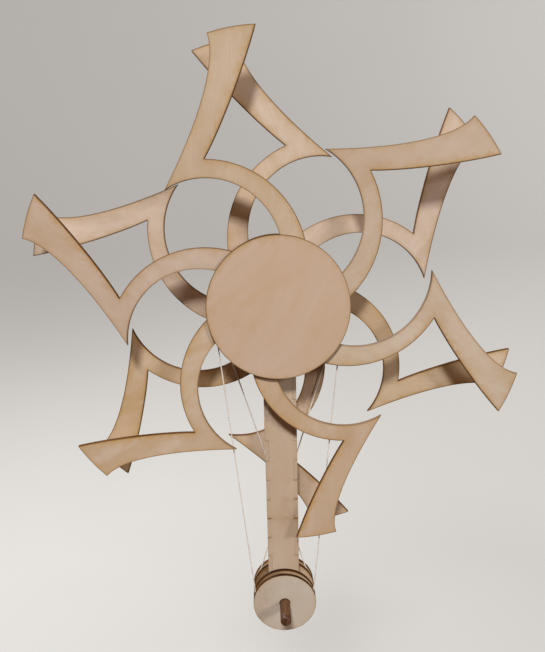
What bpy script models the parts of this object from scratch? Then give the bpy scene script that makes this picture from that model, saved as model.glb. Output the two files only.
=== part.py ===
# Twin-rotor kaleidoscope spinner: two mirror-image plywood rotors on one fixed
# axle, turned in opposite directions by an open and a crossed string loop from a
# small hand pulley at the foot of a post.
#
# Metres, +Z up, seen from the front along +Y with +X to the right.  The origin is
# the centre of the flat back face of the mounting plate, on the rotors' axis.
import math

import bmesh
import bpy
from mathutils import Matrix, Vector

MM = 0.001

# ---------------------------------------------------------------- sizes
PLY = 2.8 * MM                  # thickness of the plywood sheet
GLUE = 0.3 * MM                 # gap left between touching pieces
PITCH = PLY + GLUE

# rotor outline, drawn on a tip radius of 1 and scaled by TIP_RADIUS
TIP_RADIUS = 108.0 * MM
BAND_IN_C, BAND_IN_R = Vector((-0.4432, 0.3202)), 0.4706      # hollow side of the curved band
BAND_OUT_C, BAND_OUT_R = Vector((-0.4430, 0.2718)), 0.6278    # outer side of the curved band
TIP_ANGLE = 121.9               # where the band ends in its sharp tip, about BAND_IN_C
NOTCH_ANGLE = 90.4              # where the blade leaves the band, about BAND_OUT_C
BLADE_END_IN = Vector((-0.4154, 1.5800))
BLADE_END_OUT = Vector((-0.1370, 1.6276))
BLADE_END_BULGE = 0.009
TIP_SIDE = (Vector((-0.4515, 1.1486)), Vector((-0.3656, 1.4448)))
NOTCH_SIDE = (Vector((-0.3520, 1.0590)), Vector((-0.2110, 1.3800)))
ROOT_RADIUS = 0.36              # the band widens into a sixth of a hub inside this radius
ROOT_BORE = 0.085
ARMS = 6
FRONT_TURN = -1.54              # degrees, anticlockwise from the front, at rest
REAR_TURN = 22.22

HUB_DISC_R = 49.6 * MM
TOP_DRUM_R = 44.6 * MM          # floor of the groove
DRIVE_DISC_R = 24.5 * MM
DRIVE_DRUM_R = 21.2 * MM
STRING_R = 0.5 * MM
TOP_PATH_R = TOP_DRUM_R + STRING_R + GLUE
DRIVE_PATH_R = DRIVE_DRUM_R + STRING_R + GLUE

AXLE_R = 4.0 * MM
RUNNING_R = 4.15 * MM           # bores that turn on an axle
SEAT_R = 4.3 * MM               # bores that are glued to an axle
WASHER_R = 8.0 * MM
WASHER_T = 0.45 * MM
DRIVE_Z = -232.2 * MM           # drive axis below the rotors' axis
GRIP = 22.0 * MM                # how far the dowel stands out in front

POST_W = 24.0 * MM
POST_TOP = 14.0 * MM
POST_BOTTOM = DRIVE_Z - 14.0 * MM
FINGER = 16.0 * MM
FINGER_START = -100.9 * MM       # one of the finger boundaries

# ---------------------------------------------------------------- depths
# y of the front face of every layer, counted back from the front arms' face
ARM_Y = 0.0
COVER_Y = -PITCH
DRUM_Y = PITCH
FLANGE_Y = 2 * PITCH
POST_GAP = 8.5 * MM             # between the two top flanges
POST_DEPTH = 6.6 * MM
REAR_FLANGE_Y = FLANGE_Y + PLY + POST_GAP
POST_MID_Y = FLANGE_Y + PLY + POST_GAP / 2
POST_FRONT_Y = POST_MID_Y - POST_DEPTH / 2
POST_BACK_Y = POST_MID_Y + POST_DEPTH / 2
FRONT_WASHER_Y = POST_FRONT_Y - 0.25 * MM - WASHER_T
REAR_WASHER_Y = POST_BACK_Y + 0.25 * MM
REAR_DRUM_Y = REAR_FLANGE_Y + PITCH
REAR_ARM_Y = REAR_DRUM_Y + PITCH
REAR_COVER_Y = REAR_ARM_Y + PITCH
# the drive pulley is a little longer than the rotor stack, about the same middle
DRIVE_FLANGE_OUT = 6.1 * MM     # middle of the post to the middle of each inner flange
DRIVE_DISC_OUT = 12.7 * MM      # and to the middle of each end disc
DRIVE_DRUM_T = DRIVE_DISC_OUT - DRIVE_FLANGE_OUT - PLY - 2 * GLUE
BOSS_Y = REAR_COVER_Y + PLY + 1.2 * MM
BOSS_LEN = 12.0 * MM
PLATE_Y = BOSS_Y + BOSS_LEN + GLUE
PLATE_T = 6.0 * MM
PLATE_HALF = 30.0 * MM
BACK_Y = PLATE_Y + PLATE_T      # back face of the mounting plate, y = 0 of the part


# ---------------------------------------------------------------- helpers
def start_empty():
    for ob in list(bpy.data.objects):
        bpy.data.objects.remove(ob, do_unlink=True)


def wood(name, rgb, roughness):
    mat = bpy.data.materials.new(name)
    mat.use_nodes = True
    bsdf = mat.node_tree.nodes["Principled BSDF"]
    bsdf.inputs["Base Color"].default_value = (*rgb, 1.0)
    bsdf.inputs["Roughness"].default_value = roughness
    bsdf.inputs["Metallic"].default_value = 0.0
    mat.diffuse_color = (*rgb, 1.0)
    return mat


def pivot(name, z):
    empty = bpy.data.objects.new(name, None)
    empty.location = (0.0, -BACK_Y, z)
    empty.empty_display_size = 0.02
    bpy.context.collection.objects.link(empty)
    return empty


def finish(bm, name):
    bmesh.ops.recalc_face_normals(bm, faces=bm.faces[:])
    if bm.calc_volume(signed=True) < 0:
        bmesh.ops.reverse_faces(bm, faces=bm.faces[:])
    mesh = bpy.data.meshes.new(name)
    bm.to_mesh(mesh)
    bm.free()
    mesh.shade_smooth()
    mesh.set_sharp_from_angle(angle=math.radians(30.0))
    return mesh


def place(name, mesh, mat, parent, turn=0.0, location=(0.0, 0.0, 0.0)):
    """turn is in degrees, anticlockwise as seen from the front."""
    ob = bpy.data.objects.new(name, mesh)
    if len(mesh.materials) == 0:
        mesh.materials.append(mat)
    ob.parent = parent
    ob.location = location
    ob.rotation_euler = (0.0, -math.radians(turn), 0.0)
    bpy.context.collection.objects.link(ob)
    return ob


def sheet_piece(name, outline, y0, thickness):
    """A piece cut from sheet: an outline of (x, z) extruded along y."""
    bm = bmesh.new()
    front = bm.faces.new([bm.verts.new((x, y0, z)) for x, z in outline])
    back = bmesh.ops.extrude_face_region(bm, geom=[front])
    moved = [v for v in back["geom"] if isinstance(v, bmesh.types.BMVert)]
    bmesh.ops.translate(bm, verts=moved, vec=(0.0, thickness, 0.0))
    return finish(bm, name)


def circle(radius, count):
    return [(radius * math.cos(2 * math.pi * i / count), radius * math.sin(2 * math.pi * i / count))
            for i in range(count)]


def turned(name, profile, count):
    """A turned piece: a closed profile of (radius, y) swept round the y axis.
    A point with radius 0 lies on the axis and is shared by the whole turn."""
    bm = bmesh.new()
    rings = []
    for radius, y in profile:
        if radius <= 0.0:
            centre = bm.verts.new((0.0, y, 0.0))
            rings.append([centre] * count)
        else:
            rings.append([bm.verts.new((x, y, z)) for x, z in circle(radius, count)])
    n = len(rings)
    for a in range(n):
        low, high = rings[a], rings[(a + 1) % n]
        for i in range(count):
            j = (i + 1) % count
            corners = []
            for v in (low[i], low[j], high[j], high[i]):
                if v not in corners:
                    corners.append(v)
            if len(corners) >= 3:
                bm.faces.new(corners)
    return finish(bm, name)


def ring(name, inner, outer, y0, thickness, count):
    return turned(name, [(inner, y0), (outer, y0), (outer, y0 + thickness), (inner, y0 + thickness)], count)


def polar(centre, radius, degrees):
    a = math.radians(degrees)
    return Vector((centre.x + radius * math.cos(a), centre.y + radius * math.sin(a)))


def bearing(centre, point):
    return math.degrees(math.atan2(point.y - centre.y, point.x - centre.x))


def arc(centre, radius, start, end, steps):
    return [polar(centre, radius, start + (end - start) * i / steps) for i in range(steps + 1)]


def bezier(a, b, c, d, steps):
    out = []
    for i in range(steps + 1):
        t = i / steps
        s = 1.0 - t
        out.append(a * s ** 3 + b * (3 * t * s * s) + c * (3 * t * t * s) + d * t ** 3)
    return out


def hit_on_hub_circle(centre, radius, hub_radius):
    """Angle, about the hub, where a circle crosses the hub circle on its clockwise side."""
    d = centre.length
    spread = math.acos((d * d + hub_radius ** 2 - radius ** 2) / (2 * d * hub_radius))
    return bearing(Vector((0.0, 0.0)), centre) - math.degrees(spread)


def arm_outline():
    """One rotor arm, anticlockwise: hub segment, curved band, blade with a flared end."""
    hub = Vector((0.0, 0.0))
    at_out = hit_on_hub_circle(BAND_OUT_C, BAND_OUT_R, ROOT_RADIUS)
    at_in = hit_on_hub_circle(BAND_IN_C, BAND_IN_R, ROOT_RADIUS)
    middle = 0.5 * (at_out + at_in)
    half = 180.0 / ARMS
    side = 0.5 * GLUE / TIP_RADIUS

    def trim(radius):
        return half - math.degrees(math.asin(side / radius))

    tip = polar(BAND_IN_C, BAND_IN_R, TIP_ANGLE)
    notch = polar(BAND_OUT_C, BAND_OUT_R, NOTCH_ANGLE)
    root_out = polar(hub, ROOT_RADIUS, at_out)
    root_in = polar(hub, ROOT_RADIUS, at_in)

    chord = BLADE_END_IN - BLADE_END_OUT
    outward = Vector((chord.y, -chord.x)).normalized()
    if outward.dot(BLADE_END_IN) < 0:
        outward = -outward
    end = [BLADE_END_OUT + chord * (i / 8) + outward * (BLADE_END_BULGE * 4 * (i / 8) * (1 - i / 8))
           for i in range(9)]

    runs = [
        arc(hub, ROOT_RADIUS, middle - trim(ROOT_RADIUS), at_out, 4),
        arc(BAND_OUT_C, BAND_OUT_R, bearing(BAND_OUT_C, root_out), NOTCH_ANGLE, 26),
        bezier(notch, NOTCH_SIDE[0], NOTCH_SIDE[1], BLADE_END_OUT, 14),
        end,
        bezier(BLADE_END_IN, TIP_SIDE[1], TIP_SIDE[0], tip, 18),
        arc(BAND_IN_C, BAND_IN_R, TIP_ANGLE, bearing(BAND_IN_C, root_in), 28),
        arc(hub, ROOT_RADIUS, at_in, middle + trim(ROOT_RADIUS), 4),
        arc(hub, ROOT_BORE, middle + trim(ROOT_BORE), middle - trim(ROOT_BORE), 6),
    ]
    points = []
    for run in runs:
        for p in run:
            if not points or (p - points[-1]).length > 1e-4:
                points.append(p)
    if (points[0] - points[-1]).length < 1e-4:
        points.pop()
    return [(p.x * TIP_RADIUS, p.y * TIP_RADIUS) for p in points]


def mirrored(outline):
    return [(-x, z) for x, z in reversed(outline)]


def belt(name, points, mat, parent):
    curve = bpy.data.curves.new(name, "CURVE")
    curve.dimensions = "3D"
    curve.bevel_depth = STRING_R
    curve.bevel_resolution = 2
    curve.use_fill_caps = True
    spline = curve.splines.new("POLY")
    spline.points.add(len(points) - 1)
    for i, p in enumerate(points):
        spline.points[i].co = (*p, 1.0)
    spline.use_cyclic_u = True
    ob = bpy.data.objects.new(name, curve)
    curve.materials.append(mat)
    ob.parent = parent
    bpy.context.collection.objects.link(ob)
    return ob


def arc3(centre_z, radius, y, start, end, steps):
    out = []
    for i in range(steps + 1):
        a = math.radians(start + (end - start) * i / steps)
        out.append(Vector((radius * math.cos(a), y, centre_z + radius * math.sin(a))))
    return out


def strand(a, b, bulge, steps):
    """Inner points of a straight run from a to b, carried sideways in y by bulge half way."""
    out = []
    for i in range(1, steps):
        t = i / steps
        p = a.lerp(b, t)
        p.y += bulge * math.sin(math.pi * t) ** 2
        out.append(p)
    return out


def open_belt_points(top_y, drive_y):
    tilt = math.degrees(math.asin((TOP_PATH_R - DRIVE_PATH_R) / -DRIVE_Z))
    over = arc3(0.0, TOP_PATH_R, top_y, -tilt, 180.0 + tilt, 36)
    under = arc3(DRIVE_Z, DRIVE_PATH_R, drive_y, 180.0 + tilt, 360.0 - tilt, 20)
    return over + strand(over[-1], under[0], 0.0, 4) + under + strand(under[-1], over[0], 0.0, 4)


def crossed_belt_points(top_y, drive_y, bulge):
    tilt = math.degrees(math.asin((TOP_PATH_R + DRIVE_PATH_R) / -DRIVE_Z))
    over = arc3(0.0, TOP_PATH_R, top_y, -tilt, 180.0 + tilt, 40)
    under = arc3(DRIVE_Z, DRIVE_PATH_R, drive_y, tilt, -180.0 - tilt, 26)
    return over + strand(over[-1], under[0], bulge, 12) + under + strand(under[-1], over[0], -bulge, 12)


def drill(target, radius, x, y0, y1, z, count=48):
    """Cut a round hole along y through target with a hidden cutter."""
    bm = bmesh.new()
    face = bm.faces.new([bm.verts.new((cx + x, y0, cz + z)) for cx, cz in circle(radius, count)])
    out = bmesh.ops.extrude_face_region(bm, geom=[face])
    bmesh.ops.translate(bm, verts=[v for v in out["geom"] if isinstance(v, bmesh.types.BMVert)],
                        vec=(0.0, y1 - y0, 0.0))
    index = len([m for m in target.modifiers]) + 1
    mesh = finish(bm, target.name + "_cut_%d" % index)
    cutter = bpy.data.objects.new(target.name + "_cut_%d" % index, mesh)
    cutter.parent = target.parent
    cutter.hide_render = True
    cutter.display_type = "WIRE"
    bpy.context.collection.objects.link(cutter)
    mod = target.modifiers.new("hole_%d" % index, "BOOLEAN")
    mod.operation = "DIFFERENCE"
    mod.object = cutter
    mod.solver = "EXACT"


# ---------------------------------------------------------------- post
def finger_bounds():
    """Heights where the post's fingers change side, from the foot to the head."""
    first = math.ceil((POST_BOTTOM - FINGER_START) / FINGER)
    zs = [POST_BOTTOM]
    z = FINGER_START + first * FINGER
    index = first
    while z < POST_TOP - 3 * MM:
        if z - zs[-1] > 3 * MM:
            zs.append(z)
        index += 1
        z = FINGER_START + index * FINGER
    zs.append(POST_TOP)
    return zs


def strip_has_finger(index, left):
    return (index % 2 == 0) if left else (index % 2 == 1)


def post_plate_outline(zs):
    """Front plate: full width where it has a finger, stepped in where a strip has one."""
    wide = POST_W / 2
    narrow = POST_W / 2 - PLY - GLUE
    slack = GLUE / 2

    def edge(left):
        pts = []
        for i in range(len(zs) - 1):
            inset = strip_has_finger(i, left)
            x = narrow if inset else wide
            z0, z1 = zs[i], zs[i + 1]
            grow = slack if inset else -slack
            if i > 0:
                z0 -= grow
            if i < len(zs) - 2:
                z1 += grow
            pts += [(x, z0), (x, z1)]
        return pts

    right = edge(False)
    left = [(-x, z) for x, z in reversed(edge(True))]
    return right + left


def strip_mesh(name, zs, left):
    """Edge strip: a bar along the post with fingers that reach through the front plate."""
    slack = GLUE / 2
    body_y = POST_FRONT_Y + PITCH
    profile = [(POST_BACK_Y, zs[-1]), (POST_BACK_Y, zs[0])]
    for i in range(len(zs) - 1):
        finger = strip_has_finger(i, left)
        y = POST_FRONT_Y if finger else body_y
        z0, z1 = zs[i], zs[i + 1]
        grow = -slack if finger else slack
        if i > 0:
            z0 -= grow
        if i < len(zs) - 2:
            z1 += grow
        profile += [(y, z0), (y, z1)]
    x0 = -POST_W / 2 if left else POST_W / 2 - PLY
    bm = bmesh.new()
    face = bm.faces.new([bm.verts.new((x0, y, z)) for y, z in profile])
    out = bmesh.ops.extrude_face_region(bm, geom=[face])
    bmesh.ops.translate(bm, verts=[v for v in out["geom"] if isinstance(v, bmesh.types.BMVert)],
                        vec=(PLY, 0.0, 0.0))
    return finish(bm, name)


def rounded_square(half, radius, steps):
    pts = []
    for quarter in range(4):
        cx = (half - radius) * (1 if quarter in (0, 3) else -1)
        cz = (half - radius) * (1 if quarter in (0, 1) else -1)
        for i in range(steps + 1):
            a = math.radians(90 * quarter + 90 * i / steps)
            pts.append((cx + radius * math.cos(a), cz + radius * math.sin(a)))
    return pts


def dowel_profile(y0, y1, radius, crown, chamfer):
    """A rod along y: a crowned front end at y0 and a chamfered back end at y1."""
    pts = [(0.0, y0)]
    steps = 5
    for i in range(1, steps + 1):
        a = math.radians(90 * i / steps)
        pts.append((radius - crown + crown * math.sin(a), y0 + crown - crown * math.cos(a)))
    pts += [(radius, y1 - chamfer), (radius - chamfer, y1), (0.0, y1)]
    return pts


def build():
    start_empty()
    ply = wood("birch_ply", (0.52, 0.37, 0.24), 0.62)
    pale = wood("pale_ply", (0.62, 0.52, 0.38), 0.60)
    post_ply = wood("post_ply", (0.55, 0.43, 0.31), 0.62)
    walnut = wood("walnut_dowel", (0.13, 0.055, 0.028), 0.45)
    beech = wood("beech_dowel", (0.45, 0.29, 0.16), 0.50)
    fibre = wood("fibre_washer", (0.20, 0.10, 0.055), 0.55)
    string = wood("cream_string", (0.66, 0.60, 0.50), 0.85)

    frame = pivot("post_frame", 0.0)
    front = pivot("front_rotor_axis", 0.0)
    rear = pivot("rear_rotor_axis", 0.0)
    drive = pivot("drive_axis", DRIVE_Z)

    # rotors
    outline = arm_outline()
    front_arm = sheet_piece("front_arm_sheet", outline, ARM_Y, PLY)
    rear_arm = sheet_piece("rear_arm_sheet", mirrored(outline), REAR_ARM_Y, PLY)
    for k in range(ARMS):
        place("front_arm_%d" % (k + 1), front_arm, ply, front, FRONT_TURN - 60.0 * k)
        place("rear_arm_%d" % (k + 1), rear_arm, ply, rear, REAR_TURN - 60.0 * k)
    place("hub_cover_disc", sheet_piece("hub_cover", circle(HUB_DISC_R, 128), COVER_Y, PLY), ply, front)
    place("front_pulley_drum", ring("front_drum", RUNNING_R, TOP_DRUM_R, DRUM_Y, PLY, 96), ply, front)
    place("front_pulley_flange", ring("front_flange", RUNNING_R, HUB_DISC_R, FLANGE_Y, PLY, 96), ply, front)
    place("rear_pulley_flange", ring("rear_flange", RUNNING_R, HUB_DISC_R, REAR_FLANGE_Y, PLY, 96), ply, rear)
    place("rear_pulley_drum", ring("rear_drum", RUNNING_R, TOP_DRUM_R, REAR_DRUM_Y, PLY, 96), ply, rear)
    place("rear_hub_disc", ring("rear_hub", RUNNING_R, HUB_DISC_R, REAR_COVER_Y, PLY, 96), ply, rear)

    # main axle and what it carries
    place("main_axle", turned("main_axle", dowel_profile(0.45 * MM, BOSS_Y + BOSS_LEN, AXLE_R, 0.5 * MM, 0.5 * MM), 48),
          beech, frame)
    place("front_retaining_cap", ring("retaining_cap", SEAT_R, WASHER_R, 0.3 * MM, 2.1 * MM, 48), pale, frame)
    place("front_spacer_washer", ring("front_washer", SEAT_R, WASHER_R, FRONT_WASHER_Y, WASHER_T, 48), fibre, frame)
    place("rear_spacer_washer", ring("rear_washer", SEAT_R, WASHER_R, REAR_WASHER_Y, WASHER_T, 48), fibre, frame)
    place("mount_spacer_washer", ring("mount_washer", SEAT_R, WASHER_R, BOSS_Y - 0.37 * MM - WASHER_T, WASHER_T, 48), fibre, frame)

    # support behind the rotors
    boss = [(SEAT_R, BOSS_Y), (15.0 * MM, BOSS_Y), (16.0 * MM, BOSS_Y + 1.0 * MM),
            (16.0 * MM, BOSS_Y + BOSS_LEN), (SEAT_R, BOSS_Y + BOSS_LEN)]
    place("mount_boss", turned("mount_boss", boss, 64), beech, frame)
    plate = place("mount_plate", sheet_piece("mount_plate", rounded_square(PLATE_HALF, 5.0 * MM, 8), PLATE_Y, PLATE_T),
                  ply, frame)
    for x in (-22.0 * MM, 22.0 * MM):
        for z in (-22.0 * MM, 22.0 * MM):
            drill(plate, 2.2 * MM, x, PLATE_Y - 1 * MM, BACK_Y + 1 * MM, z, 24)

    # post
    zs = finger_bounds()
    front_plate = place("post_front_plate", sheet_piece("post_front", post_plate_outline(zs), POST_FRONT_Y, PLY),
                        post_ply, frame)
    inner = POST_W / 2 - PLY - GLUE
    back_outline = [(-inner, POST_BOTTOM), (inner, POST_BOTTOM), (inner, POST_TOP), (-inner, POST_TOP)]
    back_plate = place("post_back_plate", sheet_piece("post_back", back_outline, POST_BACK_Y - PLY, PLY),
                       post_ply, frame)
    for panel, y in ((front_plate, POST_FRONT_Y), (back_plate, POST_BACK_Y - PLY)):
        drill(panel, SEAT_R, 0.0, y - 1 * MM, y + PLY + 1 * MM, 0.0)
        drill(panel, RUNNING_R, 0.0, y - 1 * MM, y + PLY + 1 * MM, DRIVE_Z)
    place("post_left_strip", strip_mesh("post_left", zs, True), post_ply, frame)
    place("post_right_strip", strip_mesh("post_right", zs, False), post_ply, frame)

    # drive pulley
    disc_y = POST_MID_Y - DRIVE_DISC_OUT - PLY / 2
    flange_y = POST_MID_Y - DRIVE_FLANGE_OUT - PLY / 2
    rear_flange_y = POST_MID_Y + DRIVE_FLANGE_OUT - PLY / 2
    rear_disc_y = POST_MID_Y + DRIVE_DISC_OUT - PLY / 2
    drum_y = disc_y + PITCH
    rear_drum_y = rear_flange_y + PITCH
    place("drive_front_disc", ring("drive_front_disc", SEAT_R, DRIVE_DISC_R, disc_y, PLY, 80), pale, drive)
    place("drive_front_drum", ring("drive_front_drum", SEAT_R, DRIVE_DRUM_R, drum_y, DRIVE_DRUM_T, 64), ply, drive)
    place("drive_front_flange", ring("drive_front_flange", SEAT_R, DRIVE_DISC_R, flange_y, PLY, 80), ply, drive)
    place("drive_rear_flange", ring("drive_rear_flange", SEAT_R, DRIVE_DISC_R, rear_flange_y, PLY, 80), ply, drive)
    place("drive_rear_drum", ring("drive_rear_drum", SEAT_R, DRIVE_DRUM_R, rear_drum_y, DRIVE_DRUM_T, 64), ply, drive)
    place("drive_rear_disc", ring("drive_rear_disc", SEAT_R, DRIVE_DISC_R, rear_disc_y, PLY, 80), ply, drive)
    dowel = dowel_profile(disc_y - GRIP, rear_disc_y + PLY + 2.5 * MM, AXLE_R, 1.4 * MM, 0.6 * MM)
    place("drive_axle", turned("drive_axle", dowel, 48), walnut, drive)
    place("drive_front_washer", ring("drive_washer_a", SEAT_R, WASHER_R, FRONT_WASHER_Y, WASHER_T, 48), fibre, frame,
          location=(0.0, 0.0, DRIVE_Z))
    place("drive_rear_washer", ring("drive_washer_b", SEAT_R, WASHER_R, REAR_WASHER_Y, WASHER_T, 48), fibre, frame,
          location=(0.0, 0.0, DRIVE_Z))

    # string loops
    belt("front_belt", open_belt_points(DRUM_Y + PLY / 2, drum_y + DRIVE_DRUM_T / 2), string, frame)
    belt("rear_belt", crossed_belt_points(REAR_DRUM_Y + PLY / 2, rear_drum_y + DRIVE_DRUM_T / 2, 0.8 * MM),
         string, frame)


build()
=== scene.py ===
import math

import bmesh
import bpy
import numpy as np
from mathutils import Matrix, Vector
from mathutils.geometry import delaunay_2d_cdt


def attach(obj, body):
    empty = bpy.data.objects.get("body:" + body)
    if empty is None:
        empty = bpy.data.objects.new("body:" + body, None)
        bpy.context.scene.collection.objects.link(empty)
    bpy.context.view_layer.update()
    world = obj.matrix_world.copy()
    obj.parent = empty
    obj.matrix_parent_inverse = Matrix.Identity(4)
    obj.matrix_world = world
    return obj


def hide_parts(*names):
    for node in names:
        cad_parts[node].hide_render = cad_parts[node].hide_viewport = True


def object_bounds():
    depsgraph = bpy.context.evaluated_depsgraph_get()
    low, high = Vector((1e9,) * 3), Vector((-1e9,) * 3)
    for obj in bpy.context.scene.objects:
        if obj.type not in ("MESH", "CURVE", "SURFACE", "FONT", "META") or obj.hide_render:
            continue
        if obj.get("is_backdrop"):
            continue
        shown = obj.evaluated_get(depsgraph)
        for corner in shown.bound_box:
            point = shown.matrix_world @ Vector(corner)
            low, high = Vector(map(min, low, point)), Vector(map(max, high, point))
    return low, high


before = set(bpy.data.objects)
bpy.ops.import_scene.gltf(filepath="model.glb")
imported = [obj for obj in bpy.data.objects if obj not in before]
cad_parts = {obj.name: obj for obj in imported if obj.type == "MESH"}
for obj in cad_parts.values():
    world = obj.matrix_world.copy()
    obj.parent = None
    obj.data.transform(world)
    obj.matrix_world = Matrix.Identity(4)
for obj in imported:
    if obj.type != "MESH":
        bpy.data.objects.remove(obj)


def plain(value):
    """Nested vectors as plain lists of numbers."""
    if isinstance(value, (int, float)):
        return float(value)
    return [plain(v) for v in value]


cad_bounds = plain(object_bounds())

# ---------------------------------------------------------------- sizes, mm
BACK_Y = 49.1                   # stack y of the mounting plate's back face
PLY = 2.8
PITCH = 3.1
TIP_RADIUS = 108.0
BAND_IN_C, BAND_IN_R = Vector((-0.4432, 0.3202)), 0.4706
BAND_OUT_C, BAND_OUT_R = Vector((-0.4430, 0.2718)), 0.6278
TIP_ANGLE = 121.9
NOTCH_ANGLE = 90.4
BLADE_END_IN = Vector((-0.4154, 1.5800))
BLADE_END_OUT = Vector((-0.1370, 1.6276))
BLADE_END_BULGE = 0.009
TIP_SIDE = (Vector((-0.4515, 1.1486)), Vector((-0.3656, 1.4448)))
NOTCH_SIDE = (Vector((-0.3520, 1.0590)), Vector((-0.2110, 1.3800)))
ROOT_RADIUS = 0.36
ROOT_BORE = 0.085
FRONT_TURN = -1.54
REAR_TURN = 22.22
HUB_R = 49.6
TOP_DRUM_R = 44.6
DRIVE_DISC_R = 24.5
DRIVE_DRUM_R = 21.2
STRING_R = 0.5
TOP_PATH_R = TOP_DRUM_R + STRING_R + 0.3
DRIVE_PATH_R = DRIVE_DRUM_R + STRING_R + 0.3
AXLE_R = 4.0
RUNNING_R = 4.15
SEAT_R = 4.3
WASHER_R = 8.0
WASHER_T = 0.45
DRIVE_Z = -232.2
GRIP = 22.0
POST_W = 24.0
POST_TOP = 14.0
POST_BOTTOM = DRIVE_Z - 14.0
FINGER = 16.0
FINGER_START = -100.9

REAR_FLANGE_Y = 17.5
POST_MID_Y = 13.25
POST_FRONT_Y = POST_MID_Y - 3.3
POST_BACK_Y = POST_MID_Y + 3.3
REAR_DRUM_Y = REAR_FLANGE_Y + PITCH
REAR_ARM_Y = REAR_DRUM_Y + PITCH
REAR_COVER_Y = REAR_ARM_Y + PITCH
DISC_Y = POST_MID_Y - 12.7 - PLY / 2
FLANGE_Y = POST_MID_Y - 6.1 - PLY / 2
DRIVE_REAR_FLANGE_Y = POST_MID_Y + 6.1 - PLY / 2
DRIVE_REAR_DISC_Y = POST_MID_Y + 12.7 - PLY / 2
DRIVE_DRUM_T = 12.7 - 6.1 - PLY - 0.6
BOSS_Y = REAR_COVER_Y + PLY + 1.2
BOSS_LEN = 12.0
PLATE_Y = BOSS_Y + BOSS_LEN + 0.3
PLATE_T = 6.0

EASE = 0.10                     # the cut edge's tiny charred radius


# ---------------------------------------------------------------- outlines
def polar(centre, radius, degrees):
    a = math.radians(degrees)
    return Vector((centre.x + radius * math.cos(a), centre.y + radius * math.sin(a)))


def bearing(centre, point):
    return math.degrees(math.atan2(point.y - centre.y, point.x - centre.x))


def arc(centre, radius, start, end, steps):
    return [polar(centre, radius, start + (end - start) * i / steps) for i in range(steps + 1)]


def bezier(a, b, c, d, steps):
    out = []
    for i in range(steps + 1):
        t = i / steps
        s = 1.0 - t
        out.append(a * s ** 3 + b * (3 * t * s * s) + c * (3 * t * t * s) + d * t ** 3)
    return out


def hit_on_hub_circle(centre, radius, hub_radius):
    d = centre.length
    spread = math.acos((d * d + hub_radius ** 2 - radius ** 2) / (2 * d * hub_radius))
    return bearing(Vector((0.0, 0.0)), centre) - math.degrees(spread)


def arm_outline():
    """One rotor arm in mm, anticlockwise: hub segment, curved band, flared blade."""
    hub = Vector((0.0, 0.0))
    at_out = hit_on_hub_circle(BAND_OUT_C, BAND_OUT_R, ROOT_RADIUS)
    at_in = hit_on_hub_circle(BAND_IN_C, BAND_IN_R, ROOT_RADIUS)
    middle = 0.5 * (at_out + at_in)
    side = 0.15 / TIP_RADIUS

    def trim(radius):
        return 30.0 - math.degrees(math.asin(side / radius))

    tip = polar(BAND_IN_C, BAND_IN_R, TIP_ANGLE)
    notch = polar(BAND_OUT_C, BAND_OUT_R, NOTCH_ANGLE)
    root_out = polar(hub, ROOT_RADIUS, at_out)
    root_in = polar(hub, ROOT_RADIUS, at_in)
    chord = BLADE_END_IN - BLADE_END_OUT
    outward = Vector((chord.y, -chord.x)).normalized()
    if outward.dot(BLADE_END_IN) < 0:
        outward = -outward
    end = [BLADE_END_OUT + chord * (i / 26) + outward * (BLADE_END_BULGE * 4 * (i / 26) * (1 - i / 26))
           for i in range(27)]
    rough = [
        arc(hub, ROOT_RADIUS, middle - trim(ROOT_RADIUS), at_out, 12),
        arc(BAND_OUT_C, BAND_OUT_R, bearing(BAND_OUT_C, root_out), NOTCH_ANGLE, 96),
        bezier(notch, NOTCH_SIDE[0], NOTCH_SIDE[1], BLADE_END_OUT, 72),
        end,
        bezier(BLADE_END_IN, TIP_SIDE[1], TIP_SIDE[0], tip, 84),
        arc(BAND_IN_C, BAND_IN_R, TIP_ANGLE, bearing(BAND_IN_C, root_in), 84),
        arc(hub, ROOT_RADIUS, at_in, middle + trim(ROOT_RADIUS), 12),
        arc(hub, ROOT_BORE, middle + trim(ROOT_BORE), middle - trim(ROOT_BORE), 12),
    ]
    return tidy([p * TIP_RADIUS for run in rough for p in run])


def tidy(points, shortest=0.05):
    """Drop points that repeat their neighbour, and split edges longer than 2.2 mm."""
    kept = []
    for p in points:
        if not kept or (p - kept[-1]).length > shortest:
            kept.append(p)
    if (kept[0] - kept[-1]).length <= shortest:
        kept.pop()
    out = []
    for i, p in enumerate(kept):
        q = kept[(i + 1) % len(kept)]
        parts = max(1, math.ceil((q - p).length / 2.2))
        out += [p.lerp(q, j / parts) for j in range(parts)]
    return out


def mirrored(outline):
    return [Vector((-p.x, p.y)) for p in reversed(outline)]


def ring_loop(radius, count, centre=(0.0, 0.0), hole=False):
    loop = [Vector((centre[0] + radius * math.cos(2 * math.pi * i / count),
                    centre[1] + radius * math.sin(2 * math.pi * i / count))) for i in range(count)]
    return loop[::-1] if hole else loop


def rounded_square(half, radius, steps):
    pts = []
    for quarter in range(4):
        cx = (half - radius) * (1 if quarter in (0, 3) else -1)
        cz = (half - radius) * (1 if quarter in (0, 1) else -1)
        pts += arc(Vector((cx, cz)), radius, 90 * quarter, 90 * quarter + 90, steps)
    return tidy(pts)


# ---------------------------------------------------------------- sheet pieces
def inward(loop, distance):
    """The loop moved to its left (the material's side) by distance, corners mitred."""
    out = []
    n = len(loop)
    for i in range(n):
        a = (loop[i] - loop[i - 1]).normalized()
        b = (loop[(i + 1) % n] - loop[i]).normalized()
        na, nb = Vector((-a.y, a.x)), Vector((-b.y, b.x))
        m = na + nb
        if m.length < 1e-6:
            m = na
        m.normalize()
        out.append(loop[i] + m * (distance / max(m.dot(na), 0.22)))
    return out


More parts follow.
